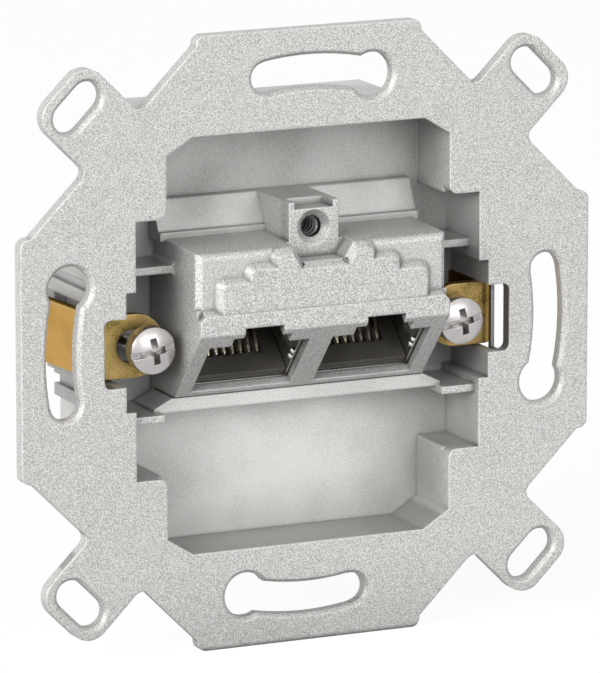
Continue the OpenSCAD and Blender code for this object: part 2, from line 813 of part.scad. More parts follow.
// Mouth, latch cuts and space for one jack
module jack_space(x) {
    w = cavity_w * half;
    in_mouth(x) {
        block([-w, mouth_rim, -jack_foot - jack_gap], [w, jack_back + jack_gap, jack_top + jack_gap]);
        block(
            [-mouth_width * half, -eps, -mouth_foot],
            [mouth_width * half, mouth_rim + hair, -mouth_lip]
        );
        block(
            [-latch_wide * half, -eps, -mouth_lip - hair],
            [latch_wide * half, mouth_rim + hair, -latch_wide_top]
        );
        block(
            [-latch_narrow * half, -eps, -mouth_lip - hair],
            [latch_narrow * half, mouth_rim + hair, latch_narrow_rise]
        );
    }
}

// Ribs above and below the right claw well
module well_ribs() {
    root = hood_width * half - hair;
    top = upper_rib_at + rib_thickness;
    block(
        [root, front_y + upper_rib_depth, upper_rib_at],
        [step_width * half + hair, floor_y + hair, top]
    );
    along(front_y + upper_rib_depth, floor_y + hair)
        polygon([
            [root, upper_rib_at - rib_flare], [root + rib_flare, upper_rib_at],
            [root + rib_flare, top], [root, top + rib_flare]
        ]);
    block(
        [lower_rib_from, front_y + lower_rib_depth, lower_rib_at - rib_thickness],
        [step_width * half + hair, floor_y + hair, lower_rib_at]
    );
}

// Space of the right claw well, in X and Z
module well_outline() {
    inner = hood_width * half;
    translate([inner, lower_rib_at])
        square([step_width * half - inner, upper_rib_at - lower_rib_at]);
    translate([inner, -well_height * half])
        square([well_width * half - inner, well_height]);
}

// Bridge across the notch, in front of the right claw's bend
module claw_bridge() {
    x1 = bridge_x + bridge_width;
    back = tab_y - bridge_gap;
    past = min(notch_r, max(0, x1 - notch_width * half + notch_r));
    z = notch_height * half - notch_r + sqrt(notch_r * notch_r - past * past);
    end = notch_height * half + bridge_post;
    block([bridge_x, back - bridge_bar, -end], [x1, back, end]);
    block([bridge_x, -hair, z], [x1, back, end]);
    block([bridge_x, -hair, -end], [x1, back, -z]);
}

// Front housing: one casting with plate, tub, jack hood and boss
module front_housing() {
    arm_inner = arm_wall_x - wall_thickness;
    outer = well_width * half + wall_thickness;
    arm_outer = arm_slot_half + wall_thickness;
    back_half = port_x + cavity_w * half - wall_thickness;
    color([0.72, 0.73, 0.74])
        difference() {
            union() {
                difference() {
                    union() {
                        along(front_y, 0)
                            plate_outline();
                        along(-hair, floor_back_y)
                            body_outline();
                        along(floor_y, rim_y)
                            body_outline(rear_step_height);
                    }
                    along(front_y - eps, floor_y)
                        opening_outline(0);
                    along(front_y - eps, hair)
                        plate_opening();
                    along(floor_back_y, rim_y + eps)
                        opening_outline(0, rear_step_height);
                    both_sides()
                        along(front_y - eps, well_y)
                            well_outline();
                }
                both_sides() {
                    along(well_y, well_back_y)
                        well_outline();
                    well_ribs();
                    claw_bridge();
                    bar_y(claw_screw_x, 0, well_y, claw_boss_end, claw_boss_r);
                    block([arm_inner, well_y, -arm_outer], [outer - hair, rim_y, arm_outer]);
                    bar_y(clamp_screw_x, clamp_screw_z, floor_y + hair, rim_y, small_boss_r);
                    bar_y(cover_screw_x, -cover_screw_z, floor_y + hair, rim_y, small_boss_r);
                    bar_y(board_screw_x, board_screw_z, floor_y + hair, board_y, board_boss_r);
                    bar_y(board_screw_x, -board_screw_z, floor_y + hair, board_y, board_boss_r);
                }
                hood_solid();
                boss_solid();
            }
            boss_cuts();
            jack_space(port_x);
            jack_space(-port_x);
            block(
                [-back_half, boss_y + boss_hole_depth, ledge_top + wall_thickness],
                [back_half, floor_back_y + eps, roof_front - wall_thickness]
            );
            both_sides() {
                along(hair, rim_y + eps)
                    translate([arm_wall_x, -arm_slot_half])
                        square([outer + hair - arm_wall_x, 2 * arm_slot_half]);
                along(front_y - eps, well_y)
                    translate([claw_screw_x, -arm_slot_half])
                        square([outer + hair - claw_screw_x, 2 * arm_slot_half]);
                bar_y(claw_screw_x, 0, well_y - eps, rim_y, claw_screw_r + screw_gap);
                bar_y(clamp_screw_x, clamp_screw_z, floor_back_y, rim_y + eps, small_r + screw_gap);
                bar_y(cover_screw_x, -cover_screw_z, floor_back_y, rim_y + eps, small_r + screw_gap);
                bar_y(board_screw_x, board_screw_z, floor_back_y, rim_y, board_screw_r + screw_gap);
                bar_y(board_screw_x, -board_screw_z, floor_back_y, rim_y, board_screw_r + screw_gap);
            }
            for (t = [0, 90, 180, 270])
                rotate([0, t, 0])
                    arc_slot();
            for (t = [45, 135, 225, 315])
                rotate([0, t, 0])
                    ear_hole();
        }
}

// Rear cover with its hood, stepped out behind the cables, and two cable inlets
module rear_cover() {
    ix = cover_half_x - cover_wall;
    iz = cover_half_z - cover_wall;
    color([0.68, 0.69, 0.70])
        difference() {
            union() {
                along(rim_y, cover_y)
                    difference() {
                        body_outline(rear_step_height);
                        arm_spaces();
                    }
                along(rim_y, cover_step_y)
                    rounded_rect(2 * cover_half_x, 2 * cover_half_z, cover_r);
                along(rim_y, cover_back_y)
                    rounded_rect(2 * cable_half, 2 * cover_half_z, cover_r);
            }
            along(rim_y - eps, cover_step_y - cover_wall)
                rounded_rect(2 * ix, 2 * iz, cover_r - cover_wall);
            along(rim_y - eps, cover_back_y - cover_wall)
                rounded_rect(2 * (cable_half - cover_wall), 2 * iz, cover_r - cover_wall);
            for (s = [-1, 1]) {
                translate([s * inlet_at, inlet_y, 0])
                    cylinder(h = cover_half_z + eps, r = inlet_r);
                bar_y(s * clamp_screw_x, clamp_screw_z, rim_y - eps, cover_y + eps, small_r + screw_gap);
                bar_y(s * cover_screw_x, -cover_screw_z, rim_y - eps, cover_y + eps, small_r + screw_gap);
            }
        }
}

// Circuit board with the holes for its screws and tails
module circuit_board() {
    bx = board_width * half;
    bz = board_height * half;
    hole = board_screw_r + screw_gap;
    color([0.10, 0.32, 0.20])
        difference() {
            block([-bx, board_y, -bz], [bx, board_back_y, bz]);
            for (sx = [-1, 1], sz = [-1, 1])
                bar_y(sx * board_screw_x, sz * board_screw_z, board_y - eps, board_back_y + eps, hole);
            for (s = [-1, 1], k = [0:contact_count - 1])
                bar_y(
                    s * port_x + first_contact + k * contact_pitch, tail_at[1],
                    board_y - eps, board_back_y + eps, contact_hole_d * half
                );
            for (s = [-1, 1], k = [0:contact_count - 1])
                bar_y(
                    first_terminal + k * terminal_pitch, s * block_at,
                    board_y - eps, board_back_y + eps, terminal_hole_d * half
                );
        }
}

// Jack body with its plug space and latch cuts, open below for the carrier
module jack_body(x) {
    w = jack_width * half;
    p = plug_width * half;
    wide = latch_wide * half;
    narrow = latch_narrow * half;
    color([0.05, 0.05, 0.055])
        in_mouth(x)
            difference() {
                block([-w, jack_front, -jack_foot], [w, jack_back, jack_top]);
                block([-p, jack_front - eps, -plug_floor], [p, plug_back, -mouth_lip]);
                block([-p, jack_front - eps, -jack_foot - eps], [p, jack_back + eps, -plug_floor + hair]);
                block(
                    [-shield_side, jack_front - eps, -jack_foot - eps],
                    [shield_side, shield_y + shield_depth + hair, -mouth_lip]
                );
                block([-wide, jack_front - eps, -mouth_lip - eps], [wide, plug_back, -latch_wide_top]);
                block(
                    [-narrow, jack_front - eps, -mouth_lip - eps],
                    [narrow, plug_back, latch_narrow_rise - mouth_rim]
                );
            }
}

// Contact carrier: the comb that forms the floor of the plug space
module contact_carrier(x) {
    slot = carrier_slot * half;
    foot = plug_floor + carrier_thickness;
    color([0.05, 0.05, 0.055])
        in_mouth(x)
            difference() {
                block([-carrier_half, carrier_front, -foot], [carrier_half, carrier_back, -plug_floor]);
                for (k = [0:contact_count - 1])
                    translate([first_contact + k * contact_pitch, 0, 0])
                        block(
                            [-slot, contact_from - contact_thickness, -contact_drop - contact_thickness],
                            [slot, carrier_back + eps, -plug_floor + eps]
                        );
            }
}

// Strip of wire between two points in Y and Z, with round ends
module wire_piece(a, b) {
    d = b - a;
    translate(a)
        rotate(atan2(d[1], d[0]))
            translate([0, -contact_thickness * half])
                square([norm(d), contact_thickness]);
    for (p = [a, b])
        translate(p)
            circle(d = contact_thickness, $fn = 16);
}

// Eight sprung contact wires of one jack
module jack_contacts(x) {
    run = contact_rise / tan(contact_slope);
    low = -contact_drop;
    from = at_mouth([contact_from + contact_thickness, low]);
    free = at_mouth([contact_from + contact_thickness + run, low + contact_rise]);
    end = [board_back_y + tail_reach, tail_at[1]];
    color([0.83, 0.66, 0.30])
        for (k = [0:contact_count - 1]) {
            wx = x + first_contact + k * contact_pitch - contact_width * half;
            across(wx, wx + contact_width) {
                wire_piece(free, from);
                wire_piece(from, tail_at);
                wire_piece(tail_at, end);
            }
        }
}

// Thin shield round the foot and sides of one mouth, with two spring fingers
module jack_shield(x) {
    s = plug_width * half;
    t = shield_thickness;
    y0 = shield_y;
    y1 = shield_y + shield_depth;
    top = -mouth_lip - hair;
    foot = -plug_floor;
    low = foot - carrier_thickness;
    finger_at = -(mouth_lip + plug_floor) * half;
    color([0.80, 0.80, 0.78])
        in_mouth(x) {
            block([-s - t, y0, low], [s + t, y0 + t - hair, low + shield_bar]);
            for (side = [0, 1])
                mirror([side, 0, 0]) {
                    block([s, y0, foot], [s + t, y1, top]);
                    block([s, y0, low], [s + t, y0 + t - hair, foot + hair]);
                    translate([0, 0, finger_at - finger_width * half])
                        linear_extrude(height = finger_width)
                            polygon([
                                [s + t * half, y0], [s - finger_reach, y0 + shield_depth * half],
                                [s + t * half, y1], [s + t * half, y1 - 2 * t],
                                [s - finger_reach + t, y0 + shield_depth * half],
                                [s + t * half, y0 + 2 * t]
                            ]);
                }
        }
}

// Terminal block with eight wire slots, centred on height z
module terminal_block(z) {
    bx = block_width * half;
    bz = block_height * half;
    tw = terminal_width * half + hair;
    tt = terminal_thickness * half + hair;
    color([0.88, 0.87, 0.83])
        difference() {
            block([-bx, board_back_y, z - bz], [bx, block_back_y, z + bz]);
            for (k = [0:contact_count - 1])
                translate([first_terminal + k * terminal_pitch, 0, z]) {
                    block(
                        [-wire_slot * half, block_back_y - wire_slot_depth, -bz - eps],
                        [wire_slot * half, block_back_y + eps, bz + eps]
                    );
                    block([-tw, board_back_y - eps, -tt], [tw, block_back_y + eps, tt]);
                }
        }
}

// Eight slit contacts of the terminal block at height z
module terminal_contacts(z) {
    tw = terminal_width * half;
    tt = terminal_thickness * half;
    tail = tail_width * half;
    slit = terminal_slit * half;
    y1 = block_back_y - terminal_inset;
    color([0.78, 0.78, 0.74])
        for (k = [0:contact_count - 1])
            translate([first_terminal + k * terminal_pitch, 0, z])
                difference() {
                    union() {
                        block([-tw, board_back_y + hair, -tt], [tw, y1, tt]);
                        block([-tail, board_y - tail_reach, -tt], [tail, y1 - terminal_slit_depth, tt]);
                    }
                    block([-slit, y1 - terminal_slit_depth, -eps], [slit, y1 + eps, eps]);
                }
}

// Clamp strip over the two cable places
module cable_clamp() {
    r1 = inlet_r + clamp_thickness;
    foot = cover_y + clamp_thickness;
    end = clamp_screw_x + small_head_d * half;
    color([0.74, 0.75, 0.76])
        difference() {
            translate([0, 0, clamp_screw_z - clamp_width * half])
                linear_extrude(height = clamp_width)
                    difference() {
                        union() {
                            translate([-end, cover_y])
                                square([2 * end, clamp_thickness]);
                            for (s = [-1, 1]) {
                                translate([s * inlet_at, inlet_y])
                                    circle(r = r1);
                                translate([s * inlet_at - r1, cover_y])
                                    square([2 * r1, inlet_lift]);
                            }
                        }
                        for (s = [-1, 1]) {
                            translate([s * inlet_at, inlet_y])
                                circle(r = inlet_r);
                            translate([s * inlet_at - inlet_r, cover_y - eps])
                                square([inlet_d, inlet_lift + eps]);
                        }
                        translate([-end, cover_y - inlet_d])
                            square([2 * end, inlet_d]);
                    }
            for (s = [-1, 1])
                bar_y(s * clamp_screw_x, clamp_screw_z, cover_y - eps, foot + eps, small_r + screw_gap);
        }
}

// Slotted screw driven in from the rear, its head seated at depth y
module rear_screw(x, z, y, d, length, head_d, head_h) {
    slot = small_slot_width * half;
    difference() {
        union() {
            bar_y(x, z, y - length, y + hair, d * half);
            bar_y(x, z, y, y + head_h, head_d * half);
        }
        block(
            [x - head_d, y + head_h - small_slot_depth, z - slot],
            [x + head_d, y + head_h + eps, z + slot]
        );
    }
}

// Screws through the clamp and the cover into the housing
module clamp_screws() {
    color([0.80, 0.80, 0.80])
        for (s = [-1, 1])
            rear_screw(
                s * clamp_screw_x, clamp_screw_z, cover_y + clamp_thickness,
                small_screw_d, small_screw_length, small_head_d, small_head_height
            );
}

// Screws through the cover's lower flange into the housing
module cover_screws() {
    color([0.80, 0.80, 0.80])
        for (s = [-1, 1])
            rear_screw(
                s * cover_screw_x, -cover_screw_z, cover_y,
                small_screw_d, small_screw_length, small_head_d, small_head_height
            );
}

// Four screws that hold the board on its bosses
module board_screws() {
    length = board_thickness + (board_y - floor_back_y) - hair;
    color([0.80, 0.80, 0.80])
        for (sx = [-1, 1], sz = [-1, 1])
            rear_screw(
                sx * board_screw_x, sz * board_screw_z, board_back_y,
                board_screw_d, length, board_head_d, board_head_height
            );
}

// Claw on the right: tab with a long hole, bend, and arm with teeth
module claw() {
    h = claw_height * half;
    t = claw_thickness;
    inner_r = claw_bend_r - t;
    end_r = h;
    hole_r = tab_hole_width * half;
    arm_end = bend_y + arm_length;
    tooth_end = arm_end + tooth_depth * half;
    difference() {
        intersection() {
            translate([0, 0, -h])
                linear_extrude(height = claw_height) {
                    translate([tab_inner_x, tab_y])
                        square([bend_x - tab_inner_x, t]);
                    intersection() {
                        difference() {
                            translate([bend_x, bend_y])
                                circle(r = claw_bend_r);
                            translate([bend_x, bend_y])
                                circle(r = inner_r);
                        }
                        polygon([
                            [bend_x, bend_y], [bend_x, tab_y - eps],
                            [claw_outer_x + eps, tab_y - eps], [claw_outer_x + eps, bend_y]
                        ]);
                    }
                    translate([claw_outer_x, bend_y])
                        rotate(-arm_splay)
                            translate([-t, 0])
                                square([t, arm_length]);
                    translate([claw_outer_x - t * half, bend_y])
                        circle(d = t);
                }
            union() {
                bar_y(tab_inner_x + end_r, 0, tab_y - eps, arm_end, end_r);
                block([tab_inner_x + end_r, tab_y - eps, -h], [2 * claw_outer_x, arm_end + eps, h]);
            }
        }
        bar_y(tab_hole_inner_x + hole_r, 0, tab_y - eps, tab_back_y + eps, hole_r);
        bar_y(tab_hole_outer_x - hole_r, 0, tab_y - eps, tab_back_y + eps, hole_r);
        block(
            [tab_hole_inner_x + hole_r, tab_y - eps, -hole_r],
            [tab_hole_outer_x - hole_r, tab_back_y + eps, hole_r]
        );
        across(bend_x, 2 * claw_outer_x)
            for (s = [-1, 1])
                polygon([
                    [tooth_end, s * h * half - h * half], [tooth_end, s * h * half + h * half],
                    [arm_end - tooth_depth, s * h * half]
                ]);
    }
}

// Claw screw on the right, with domed head, slot and cross recess
module claw_screw() {
    r = claw_head_d * half;
    dome_r = (r * r + claw_head_dome * claw_head_dome) / (2 * claw_head_dome);
    top = head_y - claw_head_rim - claw_head_dome;
    slot = head_slot_width * half;
    cross = head_cross_length * half;
    translate([claw_screw_x, 0, 0])
        rotate([0, -head_turn, 0])
            difference() {
                union() {
                    bar_y(0, 0, head_y - hair, head_y + claw_screw_length, claw_screw_r);
                    intersection() {
                        bar_y(0, 0, top, head_y - claw_head_bevel, r);
                        translate([0, top + dome_r, 0])
                            sphere(r = dome_r);
                    }
                    bar_y(0, 0, head_y - claw_head_rim, head_y - claw_head_bevel, r);
                    cone_y(0, 0, head_y - claw_head_bevel, head_y, r, r - claw_head_bevel);
                }
                block([-r - eps, top - eps, -slot], [r + eps, top + head_slot_depth, slot]);
                block([-slot, top - eps, -cross], [slot, top + head_cross_depth, cross]);
                block([-cross, top - eps, -slot], [cross, top + head_cross_depth, slot]);
            }
}

module left_jack_body() jack_body(-port_x);
module right_jack_body() jack_body(port_x);
module left_contact_carrier() contact_carrier(-port_x);
module right_contact_carrier() contact_carrier(port_x);
module left_jack_contacts() jack_contacts(-port_x);
module right_jack_contacts() jack_contacts(port_x);
module left_jack_shield() jack_shield(-port_x);
module right_jack_shield() jack_shield(port_x);
module upper_terminal_block() terminal_block(block_at);
module lower_terminal_block() terminal_block(-block_at);
module upper_terminal_contacts() terminal_contacts(block_at);
module lower_terminal_contacts() terminal_contacts(-block_at);

module right_claw() {
    color([0.78, 0.62, 0.25])
        claw();
}

module left_claw() {
    color([0.78, 0.62, 0.25])
        mirror([1, 0, 0])
            claw();
}

module right_claw_screw() {
    color([0.82, 0.80, 0.80])
        claw_screw();
}

module left_claw_screw() {
    color([0.82, 0.80, 0.80])
        translate([-2 * claw_screw_x, 0, 0])
            claw_screw();
}

front_housing();
rear_cover();
circuit_board();
left_jack_body();
right_jack_body();
left_contact_carrier();
right_contact_carrier();
left_jack_contacts();
right_jack_contacts();
left_jack_shield();
right_jack_shield();
upper_terminal_block();
lower_terminal_block();
upper_terminal_contacts();
lower_terminal_contacts();
cable_clamp();
clamp_screws();
cover_screws();
board_screws();
left_claw();
right_claw();
left_claw_screw();
right_claw_screw();
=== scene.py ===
"""Looks of a two-port angled data socket insert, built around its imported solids."""

import math

import bmesh
import bpy
import numpy as np
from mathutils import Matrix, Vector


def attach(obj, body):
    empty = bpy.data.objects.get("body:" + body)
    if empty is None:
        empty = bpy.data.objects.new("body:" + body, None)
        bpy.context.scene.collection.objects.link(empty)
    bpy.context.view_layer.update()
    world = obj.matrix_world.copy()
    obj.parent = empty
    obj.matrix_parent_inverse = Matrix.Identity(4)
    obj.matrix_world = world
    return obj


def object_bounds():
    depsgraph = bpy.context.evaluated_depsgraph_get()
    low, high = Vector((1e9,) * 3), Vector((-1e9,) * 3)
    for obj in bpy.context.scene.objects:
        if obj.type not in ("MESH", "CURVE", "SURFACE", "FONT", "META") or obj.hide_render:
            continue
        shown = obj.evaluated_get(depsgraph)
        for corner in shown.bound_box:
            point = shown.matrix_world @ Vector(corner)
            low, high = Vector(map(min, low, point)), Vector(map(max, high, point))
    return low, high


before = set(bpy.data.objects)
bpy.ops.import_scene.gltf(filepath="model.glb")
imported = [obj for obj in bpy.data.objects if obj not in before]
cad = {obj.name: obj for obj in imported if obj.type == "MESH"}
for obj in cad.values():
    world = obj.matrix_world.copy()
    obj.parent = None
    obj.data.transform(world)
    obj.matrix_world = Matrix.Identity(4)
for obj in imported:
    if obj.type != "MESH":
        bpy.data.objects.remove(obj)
cad_box = [list(corner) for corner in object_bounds()]
MM = 0.001


# Small helpers for node trees

def join(tree, made, inputs):
    """A node's inputs, by name or number: linked to a socket or set to a value."""
    for key, value in inputs.items():
        if isinstance(value, bpy.types.NodeSocket):
            tree.links.new(value, made.inputs[key])
        else:
            made.inputs[key].default_value = value


def add(tree, kind, inputs=None, **settings):
    """One node of a tree, with its settings and inputs."""
    made = tree.nodes.new(kind)
    for key, value in settings.items():
        setattr(made, key, value)
    join(tree, made, inputs or {})
    return made


def new_finish(name):
    """An empty material: its tree, its shader and the object's own coordinates."""
    made = bpy.data.materials.new(name)
    made.use_nodes = True
    tree = made.node_tree
    tree.nodes.clear()
    shader = add(tree, "ShaderNodeBsdfPrincipled")
    add(tree, "ShaderNodeOutputMaterial", {"Surface": shader.outputs["BSDF"]})
    place = add(tree, "ShaderNodeTexCoord").outputs["Object"]
    return made, tree, shader, place


def noise(tree, place, scale, detail, roughness, stretch=None):
    """Cloudy pattern of the given number of lumps per metre, stretched along an axis if asked."""
    if stretch:
        mapped = add(tree, "ShaderNodeMapping", {"Vector": place, "Scale": stretch})
        place = mapped.outputs["Vector"]
    return add(tree, "ShaderNodeTexNoise", {
        "Vector": place, "Scale": scale, "Detail": detail, "Roughness": roughness,
    }).outputs["Fac"]


def between(tree, value, low, high, start=0.3, end=0.7):
    """A pattern's range from start to end, by default its middle, spread from low to high."""
    return add(tree, "ShaderNodeMapRange", {
        "Value": value, "From Min": start, "From Max": end, "To Min": low, "To Max": high,
    }).outputs["Result"]


def grows(tree, value, span, share=1.0):
    """Nothing below a span of values, the share above it."""
    return between(tree, value, 0.0, share, *span)


def fades(tree, value, span, share=1.0):
    """The share below a span of values, nothing above it."""
    return between(tree, value, share, 0.0, *span)


def ramp(tree, value, stops):
    """A pattern turned into colour by stops of position and colour."""
    made = add(tree, "ShaderNodeValToRGB", {"Fac": value})
    bar = made.color_ramp.elements
    while len(bar) < len(stops):
        bar.new(1.0)
    for stop, (position, colour) in zip(bar, stops):
        stop.position = position
        stop.color = (*colour, 1.0)
    return made.outputs["Color"]


def maths(tree, operation, made, *others):
    """Values or patterns taken together, one after the other."""
    for other in others:
        node = add(tree, "ShaderNodeMath", {0: made, 1: other}, operation=operation)
        made = node.outputs["Value"]
    return made


def unsigned(tree, value):
    """A value without its sign."""
    return add(tree, "ShaderNodeMath", {0: value}, operation="ABSOLUTE").outputs["Value"]


def weigh(tree, a, b, share):
    """Two patterns in one, b with the given share."""
    rest = maths(tree, "MULTIPLY", a, 1.0 - share)
    return maths(tree, "ADD", rest, maths(tree, "MULTIPLY", b, share))


def blend(tree, share, a, b):
    """Pattern a changed towards pattern b by a third one."""
    return add(tree, "ShaderNodeMix", {0: share, 2: a, 3: b}).outputs[0]


def tint(tree, share, colour, towards):
    """A colour changed towards a plain one by a pattern."""
    inputs = {0: share, 6: colour, 7: (*towards, 1.0)}
    return add(tree, "ShaderNodeMix", inputs, data_type="RGBA").outputs[2]


def spans(tree, place):
    """How far a point is to either side, its depth, and how far above or below the middle."""
    axes = add(tree, "ShaderNodeSeparateXYZ", {"Vector": place}).outputs
    return unsigned(tree, axes["X"]), axes["Y"], unsigned(tree, axes["Z"])


def rub(tree, radius):
    """Rounded-off normal at the edges, and how near a point is to an edge."""
    soft = add(tree, "ShaderNodeBevel", {"Radius": radius}, samples=6).outputs["Normal"]
    plain = add(tree, "ShaderNodeNewGeometry").outputs["Normal"]
    same = add(tree, "ShaderNodeVectorMath", {0: soft, 1: plain}, operation="DOT_PRODUCT")
    return soft, fades(tree, same.outputs["Value"], (0.75, 0.99))


# Colour of the painted shade in corners and recesses
CORNER_SHADE_COLOUR = (0.03, 0.028, 0.025)


def painted_corner_shade(tree, colour, reach, share, full=0.35, none=0.95, where=1.0):
    """Painted shade: a colour darkened by a share in corners and recesses narrower than the reach.
    """
    sky = add(tree, "ShaderNodeAmbientOcclusion", {"Distance": reach}, samples=6).outputs["AO"]
    shaded = maths(tree, "SUBTRACT", 1.0, between(tree, sky, 1.0 - share, 1.0, full, none))
    return tint(tree, maths(tree, "MULTIPLY", shaded, where), colour, CORNER_SHADE_COLOUR)


def relief(tree, shader, height, depth, strength, normal=None):
    """Fine relief of the surface, of the given depth in metres."""
    inputs = {"Height": height, "Distance": depth, "Strength": strength}
    if normal:
        inputs["Normal"] = normal
    made = add(tree, "ShaderNodeBump", inputs)
    join(tree, shader, {"Normal": made.outputs["Normal"]})


# Finishes. Places are in metres, as pairs between which a change sets in or ends.

FRONT_TO_INSIDE = (-0.0015, 0.0035)
BEHIND_FACE = (-0.0015, -0.0012)
BEHIND_PLATE = (0.0004, 0.0012)
BODY_SIDE = (0.0236, 0.0240)
NOTCH_END, NOTCH_HALF = (0.0272, 0.0276), (0.0040, 0.0044)
SILL_START, SILL_END = (0.0223, 0.0227), (0.0240, 0.0244)
WELL_SIDE, WELL_HALF, WELL_DEPTH = (0.0150, 0.0156), (0.0070, 0.0076), (0.0, 0.003)
MOUTH_DEPTH = (0.002, 0.003)
CHEEK_HALF, CHEEK_DEPTH = (0.0080, 0.0084), (-0.0010, 0.0)
WALL_FACING, FRAME_FACING, CHEEK_FACING = (0.4, 0.7), (-0.62, -0.5), (-0.5, -0.3)
# Shares of painted shade at these places
FLANK_SHADE, NOTCH_SHADE, SILL_SHADE = 0.45, 0.8, 0.46
WELL_SHADE, FRAME_SHADE, CHEEK_SHADE = 0.28, 0.2, 0.3


def shaded_places(tree, wide, depth, tall):
    """Painted shade on the casting: on the body's flanks, the walls of the claw notches, the tub's
    sills, the claw wells, the slanted frame of the mouths and the cheek of the notch under the
    boss."""
    facing = add(tree, "ShaderNodeNewGeometry").outputs["Normal"]
    axes = add(tree, "ShaderNodeSeparateXYZ", {"Vector": facing}).outputs
    outer = grows(tree, wide, BODY_SIDE)
    flank = maths(tree, "MULTIPLY", outer, grows(tree, depth, BEHIND_PLATE, FLANK_SHADE))
    notch = maths(tree, "MULTIPLY", outer, fades(tree, tall, NOTCH_HALF, NOTCH_SHADE),
                  fades(tree, wide, NOTCH_END))
    sill = maths(tree, "MULTIPLY", grows(tree, tall, SILL_START, SILL_SHADE),
                 fades(tree, tall, SILL_END))
    walls = maths(tree, "MULTIPLY", fades(tree, unsigned(tree, axes["Y"]), WALL_FACING),
                  grows(tree, depth, BEHIND_FACE), maths(tree, "MAXIMUM", notch, sill))
    well = maths(tree, "MULTIPLY", grows(tree, wide, WELL_SIDE), fades(tree, wide, BODY_SIDE),
                 fades(tree, tall, WELL_HALF), grows(tree, depth, WELL_DEPTH, WELL_SHADE))
    mouth_frame = maths(tree, "MULTIPLY", fades(tree, axes["Z"], FRAME_FACING, FRAME_SHADE),
                        fades(tree, depth, MOUTH_DEPTH))
    cheek = maths(tree, "MULTIPLY", fades(tree, axes["X"], CHEEK_FACING, CHEEK_SHADE),
                  fades(tree, wide, CHEEK_HALF), fades(tree, depth, CHEEK_DEPTH))
    return maths(tree, "MAXIMUM", flank, walls, well, mouth_frame, cheek)


# Edge colour from rubbed wear and painted highlight; colour of the painted shade
RUBBED_ZINC_AND_HIGHLIGHT, SHADED_ZINC = (0.97, 0.97, 0.95), (0.07, 0.068, 0.064)


def cast_zinc(name, dark, light):
    """Zinc casting: blasted grain in front that fades to a cloudy satin skin inside, with edges
    lightened by rubbed wear and painted highlight, painted shade in given places, and painted shade
    in recesses, in the creases in front and in fine gaps."""
    made, tree, shader, place = new_finish(name)
    wide, depth, tall = spans(tree, place)
    grain = noise(tree, place, scale=8600.0, detail=1.0, roughness=0.5)
    speck = noise(tree, place, scale=4200.0, detail=2.0, roughness=0.5)
    lumps = noise(tree, place, scale=70.0, detail=2.0, roughness=0.5)
    inside = grows(tree, depth, FRONT_TO_INSIDE, share=0.72)
    tone = blend(tree, inside, weigh(tree, grain, speck, share=0.12),
                 between(tree, lumps, low=0.41, high=0.67))
    soft, edge = rub(tree, radius=0.00034)
    colour = ramp(tree, tone, [(0.37, dark), (0.63, light)])
    # Edges lighter: rubbed wear and painted highlight
    colour = tint(tree, maths(tree, "MULTIPLY", edge, 0.6), colour, RUBBED_ZINC_AND_HIGHLIGHT)
    # Painted shade on the flanks, notch walls, sills, wells, mouth frames and cheek
    colour = tint(tree, shaded_places(tree, wide, depth, tall), colour, SHADED_ZINC)
    # Painted shade: in deep recesses, along the creases in front, and in fine gaps
    colour = painted_corner_shade(tree, colour, reach=0.011, share=0.36)
    colour = painted_corner_shade(tree, colour, reach=0.0006, share=0.55, full=0.70, none=0.97,
                   where=fades(tree, inside, (0.0, 0.4)))
    colour = painted_corner_shade(tree, colour, reach=0.0004, share=0.6)
    rough = between(tree, tone, low=0.44, high=0.62)
    join(tree, shader, {
        "Base Color": colour, "Metallic": 0.4,
        "Roughness": maths(tree, "SUBTRACT", rough, maths(tree, "MULTIPLY", inside, 0.12)),
    })
    relief(tree, shader, tone, depth=0.00005, strength=0.45, normal=soft)
    return made


# Warm arm colour, edge colour from rubbed wear and painted highlight, painted shade on the arm's
# inner side
WARM_GOLD, RUBBED_GOLD_AND_HIGHLIGHT, INNER_SIDE_SHADE = (0.62, 0.37, 0.14), (0.92, 0.80, 0.48), (0.05, 0.04, 0.018)
# Sheen tint of the sheet, and its darker tint where shade is painted
OWN_SHEEN, SHADED_SHEEN = (0.72, 0.52, 0.24), (0.40, 0.34, 0.24)
ARM_START, ARM_RUN, ARM_SLOPE = (0.003, 0.0045), (0.0033, 0.0173), 0.00146
ARM_INNER_SIDE = (0.0243, 0.0248)


